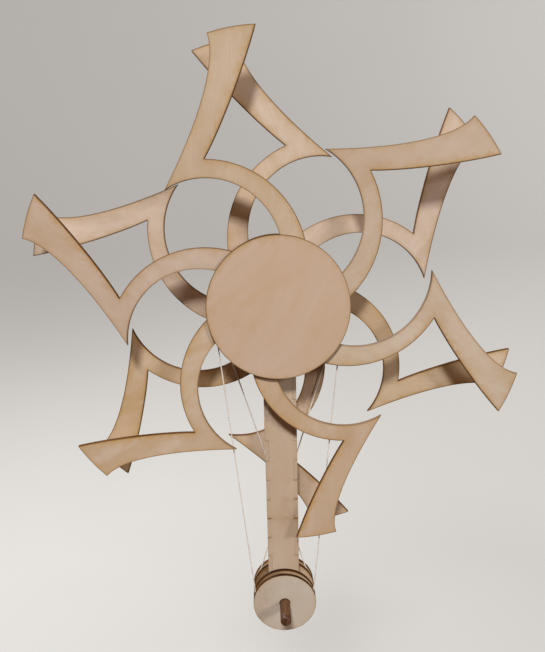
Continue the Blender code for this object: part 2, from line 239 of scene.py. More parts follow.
def segments(loops):
    a, b = [], []
    for loop in loops:
        for i, p in enumerate(loop):
            a.append((p.x, p.y))
            q = loop[(i + 1) % len(loop)]
            b.append((q.x, q.y))
    return np.array(a), np.array(b)


def nearest_edge(points, seg_a, seg_b):
    """Distance from each point to the outline, and which of its segments is nearest."""
    d = seg_b - seg_a
    ll = np.maximum((d * d).sum(1), 1e-12)
    dist = np.empty(len(points))
    which = np.empty(len(points), int)
    for k in range(0, len(points), 512):
        p = points[k:k + 512, None, :]
        t = np.clip(((p - seg_a) * d).sum(2) / ll, 0.0, 1.0)
        off = p - (seg_a + t[..., None] * d)
        r = np.sqrt((off * off).sum(2))
        which[k:k + 512] = r.argmin(1)
        dist[k:k + 512] = r.min(1)
    return dist, which


def inside(points, seg_a, seg_b):
    """Even-odd test of points against the loops."""
    hit = np.zeros(len(points), bool)
    x, y = points[:, 0], points[:, 1]
    for (ax, ay), (bx, by) in zip(seg_a, seg_b):
        if ay == by:
            continue
        cross = ((ay > y) != (by > y)) & (x < (bx - ax) * (y - ay) / (by - ay) + ax)
        hit ^= cross
    return hit


def face_net(loops, pitch):
    """Triangles over the face inside the eased edge, denser towards the cut edge, where the scorch lies."""
    eased = [inward(loop, EASE) for loop in loops]
    seg_a, seg_b = segments(loops)
    ring_pts, ring_edges = [], []
    for loop in eased:
        base = len(ring_pts)
        ring_pts += [(p.x, p.y) for p in loop]
        ring_edges += [(base + i, base + (i + 1) % len(loop)) for i in range(len(loop))]
    inner = []
    for depth, every in ((0.45, 1), (0.95, 1), (1.6, 2), (2.5, 2), (3.8, 3)):
        for loop in loops:
            moved = inward(loop, depth)
            pts = np.array([(p.x, p.y) for p in moved[::every]])
            dist, _ = nearest_edge(pts, seg_a, seg_b)
            keep = (dist > depth * 0.94) & inside(pts, seg_a, seg_b)
            inner += [tuple(p) for p in pts[keep]]
    low, high = seg_a.min(0), seg_a.max(0)
    nx = int((high[0] - low[0]) / pitch) + 2
    ny = int((high[1] - low[1]) / (pitch * 0.866)) + 2
    grid = np.array([(low[0] + (i + 0.5 * (j % 2)) * pitch, low[1] + j * pitch * 0.866)
                     for j in range(ny) for i in range(nx)])
    dist, _ = nearest_edge(grid, seg_a, seg_b)
    grid = grid[(dist > 4.6) & inside(grid, seg_a, seg_b)]
    inner += [tuple(p) for p in grid]
    taken, free = {}, []
    cell = 0.3
    for p in ring_pts:
        taken[(round(p[0] / cell), round(p[1] / cell))] = True
    for p in inner:
        key = (round(p[0] / cell), round(p[1] / cell))
        if key not in taken:
            taken[key] = True
            free.append(p)
    coords = [Vector(p) for p in ring_pts] + [Vector(p) for p in free]
    verts, _, faces, source, _, _ = delaunay_2d_cdt(coords, ring_edges, [], 0, 1e-7)
    pts = np.array([(v.x, v.y) for v in verts])
    of_ring = {}
    for i, olds in enumerate(source):
        for o in olds:
            if o < len(ring_pts):
                of_ring[o] = i
    tris = [tuple(f) for f in faces if len(f) == 3]
    mids = np.array([pts[list(f)].mean(0) for f in tris])
    ea, eb = segments(eased)
    keep = inside(mids, ea, eb)
    tris = [f for f, k in zip(tris, keep) if k]
    dist, which = nearest_edge(pts, seg_a, seg_b)
    return {"points": pts, "tris": tris, "ring": [of_ring[i] for i in range(len(ring_pts))],
            "edge": dist, "which": which}


NETS = {}


def sheet(name, loops, y0, thick, mat, seed, key=None, turn=0.0, centre=(0.0, 0.0), grain=90.0, side=False,
          burn_and_shade=None, pitch=4.0, rows=5, warp=None, soot_and_shade=None):
    """A piece laser-cut from sheet.  loops are in its own plane, mm; it is turned about its own
    centre (anticlockwise from the front) and then moved.  side=True stands the sheet in the
    plane of y and z, its thickness along x, as the post's edge strips stand.
    Attributes: wood = place along and across the grain and in depth, cut = distance from the
    cut edge, wall or face, how strongly the edge is burnt (on the hub disc with painted shade added
    along its upper left); rim = place along the cut and in depth."""
    net = NETS.get(key) if key else None
    if net is None:
        net = face_net(loops, pitch)
        if key:
            NETS[key] = net
    seg_a, seg_b = segments(loops)
    seg_burn_and_shade = np.array([1.0 if burn_and_shade is None else burn_and_shade(Vector(a), Vector(b)) for a, b in zip(seg_a, seg_b)])
    rng = np.random.default_rng(seed)
    shift = rng.uniform(-400.0, 400.0, 3)
    ga = math.radians(grain)
    along, across = np.array((math.cos(ga), math.sin(ga))), np.array((-math.sin(ga), math.cos(ga)))

    plane, depth, edge, wall, burns_and_shade, run = [], [], [], [], [], []

    def add(p, w, e, is_wall, b, r):
        plane.append((p[0], p[1]))
        depth.append(w)
        edge.append(e)
        wall.append(is_wall)
        burns_and_shade.append(b)
        run.append(r)
        return len(plane) - 1

    faces = []
    fronts = []
    for face_side, w in ((0, 0.0), (1, thick)):
        ids = [add(p, w, e, 0.0, seg_burn_and_shade[k], 0.0)
               for p, e, k in zip(net["points"], net["edge"], net["which"])]
        fronts.append(ids)
        for a, b, c in net["tris"]:
            faces.append((ids[a], ids[b], ids[c]) if face_side == 0 else (ids[c], ids[b], ids[a]))
    first = 0
    offset_seg = 0
    levels = [EASE + (thick - 2 * EASE) * i / (rows - 1) for i in range(rows)]
    for loop in loops:
        n = len(loop)
        length = 0.0
        columns = []
        for i, p in enumerate(loop):
            b = 0.5 * (seg_burn_and_shade[offset_seg + i] + seg_burn_and_shade[offset_seg + i - 1 if i else offset_seg + n - 1])
            columns.append([add(p, w, 0.0, 1.0, b, length) for w in levels])
            length += (loop[(i + 1) % n] - p).length
        for i in range(n):
            j = (i + 1) % n
            f0, f1 = fronts[0][net["ring"][first + i]], fronts[0][net["ring"][first + j]]
            b0, b1 = fronts[1][net["ring"][first + i]], fronts[1][net["ring"][first + j]]
            faces.append((f1, f0, columns[i][0], columns[j][0]))
            for r in range(rows - 1):
                faces.append((columns[j][r], columns[i][r], columns[i][r + 1], columns[j][r + 1]))
            faces.append((columns[j][-1], columns[i][-1], b0, b1))
        first += n
        offset_seg += n

    plane = np.array(plane)
    depth = np.array(depth)
    used = np.unique(np.array([i for f in faces for i in f]))
    renumber = np.full(len(plane), -1)
    renumber[used] = np.arange(len(used))
    faces = [tuple(int(renumber[i]) for i in f) for f in faces]
    plane, depth = plane[used], depth[used]
    edge, wall, burns_and_shade, run = (np.array(v)[used] for v in (edge, wall, burns_and_shade, run))

    bend = np.zeros(len(plane)) if warp is None else warp(plane)
    t = math.radians(turn)
    u = plane[:, 0] * math.cos(t) - plane[:, 1] * math.sin(t)
    v = plane[:, 0] * math.sin(t) + plane[:, 1] * math.cos(t)
    w = y0 + depth + bend
    if side:
        co = np.stack((w, u - BACK_Y, v), 1)
    else:
        co = np.stack((u + centre[0], w - BACK_Y, v + centre[1]), 1)
    # the front face is wound anticlockwise in (u, v); seen along +y that is outward
    mesh = bpy.data.meshes.new(name)
    mesh.from_pydata([tuple(c * 0.001) for c in co], [], faces)
    bm = bmesh.new()
    bm.from_mesh(mesh)
    if bm.calc_volume(signed=True) < 0:
        bmesh.ops.reverse_faces(bm, faces=bm.faces[:])
    bm.to_mesh(mesh)
    bm.free()
    put_vector(mesh, "wood", np.stack((plane @ along + shift[0], plane @ across + shift[1], depth + shift[2]), 1))
    put_vector(mesh, "cut", np.stack((np.minimum(edge, 12.0), wall, burns_and_shade), 1))
    put_vector(mesh, "rim", np.stack((run + shift[0], depth, np.full(len(run), thick)), 1))
    # how much each point is browned: smoke stain on some pieces, painted shade on others
    soot_and_shade_amount = np.zeros(len(plane)) if soot_and_shade is None else soot_and_shade(plane)
    put_vector(mesh, "soot_and_shade", np.stack((soot_and_shade_amount, soot_and_shade_amount, soot_and_shade_amount), 1))
    mesh.shade_smooth()
    mesh.set_sharp_from_angle(angle=math.radians(28.0))
    return make(name, mesh, mat)


def put_vector(mesh, name, values):
    attribute = mesh.attributes.new(name, "FLOAT_VECTOR", "POINT")
    attribute.data.foreach_set("vector", np.ascontiguousarray(values, dtype=np.float32).ravel())


def make(name, mesh, mat):
    ob = bpy.data.objects.new(name, mesh)
    mesh.materials.append(mat)
    bpy.context.scene.collection.objects.link(ob)
    return ob


def fit(ob, body, slot, *nodes):
    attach(ob, body)
    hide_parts(*nodes)
    return ob


# ---------------------------------------------------------------- turned pieces
def turned(name, profile, count, mat, seed, centre_z=0.0, closed=True, wobble=0.0):
    """A piece turned about an axis along y.  profile is (radius, y) in stack mm, closed on itself.
    wood = along the axis, then the two ways across it; cut = distance from the front end, unused, unused."""
    rng = np.random.default_rng(seed)
    shift = rng.uniform(-300.0, 300.0, 3)
    co, rings = [], []
    for k, (radius, y) in enumerate(profile):
        if radius <= 1e-6:
            co.append((0.0, y, 0.0))
            rings.append([len(co) - 1] * count)
        else:
            ids = []
            for i in range(count):
                a = 2 * math.pi * i / count
                r = radius + wobble * (math.sin(3 * a + 0.21 * y) + 0.6 * math.sin(7 * a - 0.13 * y)) * min(1.0, radius)
                co.append((r * math.cos(a), y, r * math.sin(a)))
                ids.append(len(co) - 1)
            rings.append(ids)
    faces = []
    for k in range(len(rings) if closed else len(rings) - 1):
        low, high = rings[k], rings[(k + 1) % len(rings)]
        for i in range(count):
            j = (i + 1) % count
            corners = []
            for c in (low[i], low[j], high[j], high[i]):
                if c not in corners:
                    corners.append(c)
            if len(corners) >= 3:
                faces.append(tuple(corners))
    co = np.array(co)
    mesh = bpy.data.meshes.new(name)
    mesh.from_pydata([((x) * 0.001, (y - BACK_Y) * 0.001, (z + centre_z) * 0.001) for x, y, z in co], [], faces)
    bm = bmesh.new()
    bm.from_mesh(mesh)
    bmesh.ops.recalc_face_normals(bm, faces=bm.faces[:])
    if bm.calc_volume(signed=True) < 0:
        bmesh.ops.reverse_faces(bm, faces=bm.faces[:])
    bm.to_mesh(mesh)
    bm.free()
    put_vector(mesh, "wood", np.stack((co[:, 1] + shift[0], co[:, 0] + shift[1], co[:, 2] + shift[2]), 1))
    radial = np.sqrt(co[:, 0] ** 2 + co[:, 2] ** 2)
    put_vector(mesh, "cut", np.stack((co[:, 1] - co[:, 1].min(), radial, np.zeros(len(co))), 1))
    mesh.shade_smooth()
    mesh.set_sharp_from_angle(angle=math.radians(40.0))
    return make(name, mesh, mat)


def fillet(cr, cy, radius, start, end, steps):
    """Points of a rounded corner in a turned profile."""
    return [(cr + radius * math.cos(math.radians(start + (end - start) * i / steps)),
             cy + radius * math.sin(math.radians(start + (end - start) * i / steps))) for i in range(steps + 1)]


def straight(a, b, steps):
    return [(a[0] + (b[0] - a[0]) * i / steps, a[1] + (b[1] - a[1]) * i / steps) for i in range(1, steps)]


# ---------------------------------------------------------------- material nodes
class Paint:
    """Short names for the nodes that the wood, fibre and string materials are made of."""

    def __init__(self, name, roughness, specular):
        self.mat = bpy.data.materials.new(name)
        self.mat.use_nodes = True
        self.tree = self.mat.node_tree
        self.bsdf = self.tree.nodes["Principled BSDF"]
        self.bsdf.inputs["Roughness"].default_value = roughness
        self.bsdf.inputs["Metallic"].default_value = 0.0
        self.bsdf.inputs["Specular IOR Level"].default_value = specular

    def node(self, kind, **settings):
        n = self.tree.nodes.new(kind)
        for key, value in settings.items():
            setattr(n, key, value)
        return n

    def wire(self, value, socket):
        if isinstance(value, bpy.types.NodeSocket):
            self.tree.links.new(value, socket)
        elif isinstance(value, (tuple, list)) and len(value) == 3 and socket.type == "RGBA":
            socket.default_value = (*value, 1.0)
        else:
            socket.default_value = value

    def attr(self, name):
        return self.node("ShaderNodeAttribute", attribute_name=name).outputs["Vector"]

    def parts(self, vector):
        n = self.node("ShaderNodeSeparateXYZ")
        self.wire(vector, n.inputs[0])
        return n.outputs[0], n.outputs[1], n.outputs[2]

    def math(self, op, a, b=0.0, clamp=False):
        n = self.node("ShaderNodeMath", operation=op, use_clamp=clamp)
        self.wire(a, n.inputs[0])
        self.wire(b, n.inputs[1])
        return n.outputs[0]

    def scaled(self, vector, scale, offset=(0.0, 0.0, 0.0)):
        n = self.node("ShaderNodeMapping")
        self.wire(vector, n.inputs["Vector"])
        n.inputs["Scale"].default_value = scale
        n.inputs["Location"].default_value = offset
        return n.outputs[0]

    def noise(self, vector, scale, detail=3.0, rough=0.5, distortion=0.0):
        n = self.node("ShaderNodeTexNoise", noise_dimensions="3D")
        self.wire(vector, n.inputs["Vector"])
        n.inputs["Scale"].default_value = scale
        n.inputs["Detail"].default_value = detail
        n.inputs["Roughness"].default_value = rough
        n.inputs["Distortion"].default_value = distortion
        return n.outputs[0]

    def span(self, value, low, high, to_low=0.0, to_high=1.0, smooth=True):
        n = self.node("ShaderNodeMapRange", interpolation_type="SMOOTHSTEP" if smooth else "LINEAR")
        self.wire(value, n.inputs["Value"])
        n.inputs["From Min"].default_value = low
        n.inputs["From Max"].default_value = high
        n.inputs["To Min"].default_value = to_low
        n.inputs["To Max"].default_value = to_high
        return n.outputs["Result"]

    def mix(self, factor, a, b, blend="MIX"):
        n = self.node("ShaderNodeMix", data_type="RGBA", blend_type=blend)
        self.wire(factor, n.inputs["Factor"])
        self.wire(a, n.inputs["A"] if False else n.inputs[6])
        self.wire(b, n.inputs[7])
        return n.outputs[2]

    def colours(self, value, *stops):
        n = self.node("ShaderNodeValToRGB")
        self.wire(value, n.inputs[0])
        ramp = n.color_ramp
        ramp.interpolation = "EASE"
        while len(ramp.elements) < len(stops):
            ramp.elements.new(0.5)
        for element, (at, colour) in zip(ramp.elements, stops):
            element.position = at
            element.color = (*colour, 1.0)
        return n.outputs[0]

    def grey(self, value):
        n = self.node("ShaderNodeCombineColor")
        for s in n.inputs[:3]:
            self.wire(value, s)
        return n.outputs[0]

    def bump(self, height, distance, strength=1.0):
        n = self.node("ShaderNodeBump")
        self.wire(height, n.inputs["Height"])
        n.inputs["Distance"].default_value = distance
        n.inputs["Strength"].default_value = strength
        return n.outputs[0]


def plywood(name, pale, mid, warm, halo=(0.43, 0.262, 0.066), halo_mm=2.2, halo_share=0.85, stain=0.22, rough=0.60,
            char_mm=1.02, figure_share=1.0, cut_share=1.0, soot_and_shade_tone=(0.335, 0.185, 0.066)):
    """Laser-cut birch plywood: veneer figure and pores on the faces, smoke staining towards the
    cut, a charred brown edge with the layers and the cutter's striations showing in it."""
    p = Paint(name, rough, 0.06)
    wood = p.attr("wood")
    edge, wall, burn_and_shade = p.parts(p.attr("cut"))
    soot_and_shade, _, _ = p.parts(p.attr("soot_and_shade"))
    rim = p.attr("rim")
    _, rim_depth, _ = p.parts(rim)

    # veneer
    broad = p.noise(p.scaled(wood, (0.012, 0.034, 0.02)), 1.0, 3.0, 0.55, 0.9)
    face = p.colours(broad, (0.33, warm), (0.5, mid), (0.66, pale))
    bands = p.node("ShaderNodeTexWave", wave_type="BANDS", bands_direction="Y", wave_profile="SIN")
    p.wire(p.scaled(wood, (0.016, 0.30, 0.12)), bands.inputs["Vector"])
    bands.inputs["Scale"].default_value = 0.55
    bands.inputs["Distortion"].default_value = 7.0
    bands.inputs["Detail"].default_value = 3.0
    bands.inputs["Detail Scale"].default_value = 1.1
    figure = bands.outputs[1]
    face = p.mix(1.0, face, p.grey(p.span(figure, 0.0, 1.0, 1.0 - 0.015 * figure_share, 1.0 + 0.012 * figure_share)), "MULTIPLY")
    fibre = p.noise(p.scaled(wood, (0.10, 2.4, 2.4)), 1.0, 4.0, 0.62, 0.15)
    face = p.mix(1.0, face, p.grey(p.span(fibre, 0.3, 0.7, 1.0 - 0.030 * figure_share, 1.0 + 0.026 * figure_share)), "MULTIPLY")
    pores = p.noise(p.scaled(wood, (0.30, 5.0, 5.0)), 1.0, 2.0, 0.4, 0.0)
    face = p.mix(p.span(pores, 0.66, 0.78, 0.0, 0.20), face, (0.36, 0.22, 0.12))
    # smoke blotches and handling marks
    blotch = p.noise(p.scaled(wood, (0.028, 0.034, 0.02)), 1.0, 4.0, 0.6, 1.2)
    face = p.mix(p.span(blotch, 0.50, 0.78, 0.0, stain), face, (0.50, 0.30, 0.13))
    marks = p.noise(p.scaled(wood, (0.14, 0.20, 0.1)), 1.0, 5.0, 0.7, 2.0)
    face = p.mix(p.span(marks, 0.64, 0.80, 0.0, 0.22), face, (0.34, 0.225, 0.15))

    # soot_and_shade browns the face: smoke stain, and painted shade where the attribute carries shade
    uneven = p.span(p.noise(p.scaled(wood, (0.09, 0.13, 0.1)), 1.0, 4.0, 0.65, 1.0), 0.30, 0.70, 0.55, 1.30)
    face = p.mix(p.math("MULTIPLY", p.math("MULTIPLY", soot_and_shade, uneven), 0.85, True), face, soot_and_shade_tone)

    # smoke halo and char towards the cut
    ragged = p.noise(p.scaled(wood, (0.16, 0.22, 0.2)), 1.0, 3.0, 0.6, 0.4)
    # on the hub disc burn_and_shade also carries painted shade along its upper left edge
    reach = p.math("MULTIPLY", p.span(ragged, 0.32, 0.70, 0.50, 1.6), p.math("ADD", p.math("MULTIPLY", burn_and_shade, 0.6), 0.4))
    fall = p.math("DIVIDE", edge, p.math("MULTIPLY", reach, halo_mm))
    smoke = p.math("POWER", 2.718, p.math("MULTIPLY", fall, -1.0))
    smoke = p.math("MULTIPLY", smoke, p.math("MULTIPLY", burn_and_shade, halo_share), True)
    face = p.mix(smoke, face, halo)
    fine = p.noise(p.scaled(wood, (1.1, 1.4, 1.0)), 1.0, 3.0, 0.6, 0.0)
    char_edge = p.math("ADD", edge, p.math("MULTIPLY", p.math("SUBTRACT", fine, 0.5), 0.42))
    charred = p.span(char_edge, 0.18 * char_mm, char_mm, 1.0, 0.0)
    charred = p.math("MULTIPLY", charred, p.math("MULTIPLY", burn_and_shade, 0.83), True)
    face = p.mix(charred, face, (0.098, 0.036, 0.008))

    # the cut edge: three veneers, glue lines, vertical striations of the beam
    layer_wave = p.math("ABSOLUTE", p.math("SINE", p.math("MULTIPLY", rim_depth, math.pi * 3.0 / PLY)))
    glue_line = p.span(layer_wave, 0.0, 0.35, 1.0, 0.0)
    core = p.span(p.math("ABSOLUTE", p.math("SUBTRACT", rim_depth, PLY / 2)), 0.36, 0.56, 1.0, 0.0)
    strips = p.noise(p.scaled(rim, (1.9, 0.10, 1.0)), 1.0, 4.0, 0.65, 0.0)
    scorch = p.noise(p.scaled(rim, (0.07, 0.35, 1.0)), 1.0, 3.0, 0.6, 0.5)
    cutface = p.colours(p.math("ADD", p.math("MULTIPLY", strips, 0.55), p.math("MULTIPLY", scorch, 0.45)),
                        (0.34, (0.046, 0.015, 0.003)), (0.50, (0.120, 0.044, 0.009)), (0.66, (0.235, 0.098, 0.025)))
    cutface = p.mix(p.math("MULTIPLY", core, 0.38), cutface, (0.030, 0.011, 0.004))
    cutface = p.mix(p.math("MULTIPLY", glue_line, 0.65), cutface, (0.010, 0.005, 0.003))
    cutface = p.mix(1.0, cutface, (cut_share, cut_share, cut_share), "MULTIPLY")
    # soot_and_shade darkens the cut edge too: smoke, and painted shade on the drive pulley's left
    cutface = p.mix(p.math("MULTIPLY", soot_and_shade, 0.80, True), cutface, (0.014, 0.006, 0.002))
    light_cut = p.mix(0.92, cutface, mid)
    cutface = p.mix(p.span(burn_and_shade, 0.15, 0.75), light_cut, cutface)
    colour = p.mix(wall, face, cutface)
    p.wire(colour, p.bsdf.inputs["Base Color"])

    sheen = p.math("ADD", p.span(fibre, 0.3, 0.7, rough + 0.07, rough - 0.05),
                   p.math("ADD", p.math("MULTIPLY", wall, 0.13), p.math("MULTIPLY", smoke, 0.07)))
    p.wire(sheen, p.bsdf.inputs["Roughness"])
    face_height = p.math("ADD", p.math("MULTIPLY", fibre, 0.75), p.math("MULTIPLY", pores, -0.45))
    wall_height = p.math("ADD", p.math("MULTIPLY", strips, 1.9), p.math("MULTIPLY", glue_line, -0.9))
    height = p.node("ShaderNodeMix", data_type="FLOAT")
    p.wire(wall, height.inputs[0])
    p.wire(face_height, height.inputs[2])
    p.wire(wall_height, height.inputs[3])
    p.wire(p.bump(height.outputs[0], 0.00006, 0.8), p.bsdf.inputs["Normal"])
    return p.mat


def solid_wood(name, dark, mid, light, rough, tip_dark=None, pore_share=0.5):
    """Turned solid wood: growth streaks along the rod, open pores, rings on the ends."""
    p = Paint(name, rough, 0.42)
    wood = p.attr("wood")
    along, radial, _ = p.parts(p.attr("cut"))
    streak = p.noise(p.scaled(wood, (0.035, 0.55, 0.55)), 1.0, 4.0, 0.6, 0.5)
    colour = p.colours(streak, (0.30, dark), (0.50, mid), (0.70, light))
    fibre = p.noise(p.scaled(wood, (0.16, 3.4, 3.4)), 1.0, 3.0, 0.6, 0.1)
    colour = p.mix(1.0, colour, p.grey(p.span(fibre, 0.3, 0.7, 0.80, 1.14)), "MULTIPLY")
    pores = p.noise(p.scaled(wood, (0.45, 6.5, 6.5)), 1.0, 2.0, 0.5, 0.0)
    pore = p.span(pores, 0.60, 0.70)
    colour = p.mix(p.math("MULTIPLY", pore, pore_share), colour, tuple(c * 0.35 for c in dark))
    polish = p.noise(p.scaled(wood, (0.11, 0.16, 0.16)), 1.0, 4.0, 0.6, 0.8)
    if tip_dark is not None:
        # a darker ring where the tip was rounded over, and a paler, pinkish patchy crown
        ring = p.math("MULTIPLY", p.span(along, 0.9, 1.7), p.span(along, 2.4, 4.4, 1.0, 0.0))
        colour = p.mix(p.math("MULTIPLY", ring, 0.72), colour, tip_dark)
        colour = p.mix(p.span(along, 0.2, 3.4, 0.55, 0.0), colour, tip_dark)
        pale_crown = p.math("MULTIPLY", p.span(along, 0.15, 1.0, 1.0, 0.0), p.span(polish, 0.46, 0.62))
        colour = p.mix(p.math("MULTIPLY", pale_crown, 0.22), colour, (0.30, 0.17, 0.12))
        # darker towards the rod's far end, where it enters the disc
        foot_darkening = p.math("MULTIPLY", p.span(along, 19.0, 22.5), 0.45)
        colour = p.mix(foot_darkening, colour, tip_dark)
    p.wire(colour, p.bsdf.inputs["Base Color"])
    p.wire(p.span(polish, 0.3, 0.7, rough - 0.09, rough + 0.12), p.bsdf.inputs["Roughness"])
    height = p.math("SUBTRACT", p.math("MULTIPLY", fibre, 0.8), p.math("MULTIPLY", pore, 0.8))
    p.wire(p.bump(height, 0.00007, 0.7), p.bsdf.inputs["Normal"])
    return p.mat


def fibre_board(name):
    """Red-brown vulcanised fibre of the thin washers, rubbed bright on its high spots."""
    p = Paint(name, 0.5, 0.35)
    wood = p.attr("wood")
    mottling = p.noise(p.scaled(wood, (1.2, 0.8, 0.8)), 1.0, 4.0, 0.6, 0.4)
    colour = p.colours(mottling, (0.3, (0.095, 0.038, 0.020)), (0.55, (0.165, 0.070, 0.035)), (0.75, (0.24, 0.115, 0.06)))
    threads = p.noise(p.scaled(wood, (2.0, 0.5, 5.5)), 1.0, 3.0, 0.6, 0.6)
    colour = p.mix(p.span(threads, 0.58, 0.72, 0.0, 0.35), colour, (0.30, 0.17, 0.10))
    p.wire(colour, p.bsdf.inputs["Base Color"])
    p.wire(p.span(mottling, 0.3, 0.7, 0.40, 0.62), p.bsdf.inputs["Roughness"])
    p.wire(p.bump(threads, 0.00004, 0.6), p.bsdf.inputs["Normal"])
    return p.mat


def twine(name):
    """Unbleached cotton string: pale strands, with painted shade in the grooves between them."""
    p = Paint(name, 0.86, 0.15)
    wood = p.attr("wood")
    lobe, _, _ = p.parts(p.attr("cut"))
    hairs = p.noise(p.scaled(wood, (1.0, 7.0, 7.0)), 1.0, 4.0, 0.65, 0.3)
    soil = p.noise(p.scaled(wood, (0.05, 0.02, 0.02)), 1.0, 3.0, 0.6, 0.0)
    colour = p.colours(soil, (0.30, (0.73, 0.68, 0.62)), (0.52, (0.84, 0.80, 0.75)), (0.72, (0.90, 0.87, 0.83)))
    colour = p.mix(1.0, colour, p.grey(p.span(hairs, 0.3, 0.7, 0.86, 1.08)), "MULTIPLY")
    # painted shade in the grooves between the strands
    colour = p.mix(p.span(lobe, 0.0, 0.45, 0.50, 0.0), colour, (0.46, 0.39, 0.32))
    p.wire(colour, p.bsdf.inputs["Base Color"])
    p.wire(p.span(hairs, 0.3, 0.7, 0.80, 0.95), p.bsdf.inputs["Roughness"])
    p.wire(p.bump(hairs, 0.00006, 0.8), p.bsdf.inputs["Normal"])
    p.bsdf.inputs["Sheen Weight"].default_value = 0.25
    return p.mat


FRONT_WOODS = [plywood("front_ply_%d" % i, pale, mid, warm, halo=smoke, halo_mm=reach, halo_share=share, stain=stain)
               for i, (pale, mid, warm, smoke, reach, share, stain) in enumerate((
                   ((0.579, 0.472, 0.360), (0.548, 0.435, 0.320), (0.533, 0.413, 0.287), (0.45, 0.268, 0.068), 2.2, 0.90, 0.18),
                   ((0.570, 0.475, 0.388), (0.540, 0.438, 0.346), (0.525, 0.416, 0.310), (0.45, 0.268, 0.068), 2.2, 0.90, 0.18),
                   ((0.607, 0.520, 0.432), (0.580, 0.485, 0.388), (0.551, 0.448, 0.325), (0.46, 0.262, 0.070), 2.3, 0.92, 0.15),
                   ((0.581, 0.462, 0.357), (0.555, 0.427, 0.313), (0.526, 0.387, 0.260), (0.50, 0.290, 0.080), 2.5, 1.00, 0.16),
                   ((0.608, 0.500, 0.394), (0.580, 0.462, 0.345), (0.550, 0.418, 0.287), (0.50, 0.290, 0.080), 2.5, 1.00, 0.16),
                   ((0.583, 0.479, 0.402), (0.557, 0.447, 0.362), (0.530, 0.413, 0.303), (0.46, 0.262, 0.070), 2.3, 0.92, 0.18)))]
REAR_WOODS = [plywood("rear_ply_%d" % i, pale, mid, warm, halo_share=share, stain=stain)
              for i, (pale, mid, warm, share, stain) in enumerate((
                  ((0.625, 0.516, 0.418), (0.594, 0.472, 0.366), (0.563, 0.429, 0.297), 0.78, 0.20),
                  ((0.650, 0.548, 0.470), (0.615, 0.508, 0.425), (0.568, 0.452, 0.355), 0.65, 0.14),
                  ((0.594, 0.467, 0.343), (0.558, 0.418, 0.287), (0.522, 0.375, 0.229), 0.92, 0.30),
                  ((0.608, 0.498, 0.382), (0.574, 0.449, 0.322), (0.537, 0.403, 0.258), 0.88, 0.24)))]
HUB_WOOD = plywood("hub_ply", (0.576, 0.443, 0.345), (0.561, 0.426, 0.322), (0.547, 0.409, 0.295),
                   halo_mm=1.6, halo_share=0.85, stain=0.20, char_mm=0.86, figure_share=0.45)
# the dark soot_and_shade_tone below is the colour of the painted shade on the drive pulley
PULLEY_WOOD = plywood("pulley_ply", (0.60, 0.485, 0.365), (0.555, 0.430, 0.310), (0.48, 0.345, 0.220),
                      halo=(0.36, 0.195, 0.070), halo_mm=1.8, halo_share=0.70, stain=0.28, cut_share=0.50, soot_and_shade_tone=(0.150, 0.082, 0.036))
PALE_WOOD = plywood("pale_ply_face", (0.590, 0.533, 0.468), (0.560, 0.495, 0.418), (0.542, 0.462, 0.355),
                    halo=(0.517, 0.374, 0.185), halo_mm=1.2, halo_share=0.50, stain=0.14, char_mm=0.40, cut_share=0.50)
POST_WOOD = plywood("post_ply_face", (0.573, 0.469, 0.367), (0.545, 0.434, 0.328), (0.522, 0.401, 0.279),
                    halo_mm=1.6, halo_share=0.60, stain=0.20, char_mm=0.5)
STRIP_WOOD = plywood("post_strip_face", (0.573, 0.469, 0.365), (0.547, 0.434, 0.326), (0.519, 0.396, 0.272),
                     halo_mm=1.6, halo_share=0.60, stain=0.22, char_mm=0.5)
PLATE_WOOD = plywood("mount_ply", (0.570, 0.425, 0.300), (0.530, 0.380, 0.255), (0.500, 0.345, 0.210),
                     halo_mm=2.0, halo_share=0.70, stain=0.22)
WALNUT = solid_wood("walnut_rod", (0.070, 0.028, 0.009), (0.120, 0.051, 0.017), (0.185, 0.084, 0.031), 0.43,
                    tip_dark=(0.044, 0.016, 0.008))
BEECH = solid_wood("beech_turned", (0.36, 0.215, 0.115), (0.47, 0.300, 0.170), (0.56, 0.380, 0.235), 0.50, pore_share=0.35)
FIBRE = fibre_board("washer_fibre")
STRING = twine("cotton_string")


# ---------------------------------------------------------------- rotors
def arm_warp(seed, reach=0.35):
    """Thin ply never lies quite flat: a slight bow along the arm and a twist across it, mm."""
    rng = np.random.default_rng(seed)
    bow, twist = rng.uniform(-reach, reach), rng.uniform(-reach, reach)

    def shape(plane):
        r = np.sqrt((plane ** 2).sum(1))
        t = np.clip((r - 50.0) / 125.0, 0.0, 1.0) ** 2
        across = (plane[:, 0] + 30.0) / 40.0
        return t * (bow + twist * np.clip(across, -1.0, 1.0))
    return shape


def arm_burn(a, b):
    """The blade took the most heat, the thin band the least."""
    mid = (a + b) * 0.5
    blade = min(1.0, max(0.0, (mid.length - 80.0) / 40.0))
    return (0.72 + 0.28 * blade) * (0.90 + 0.10 * math.sin(mid.x * 0.071 + mid.y * 0.093))


def root_soot_and_shade(strength):
    """The rear arms are browner towards the hub: painted shade and warm bounce light behind the hub and the front
    rotor, over some smoke stain.
    """
    def shape(plane):
        r = np.sqrt((plane ** 2).sum(1))
        # painted shade with some smoke stain, growing towards the hub
        return strength * np.clip((96.0 - r) / 44.0, 0.0, 1.0) ** 0.8
    return shape


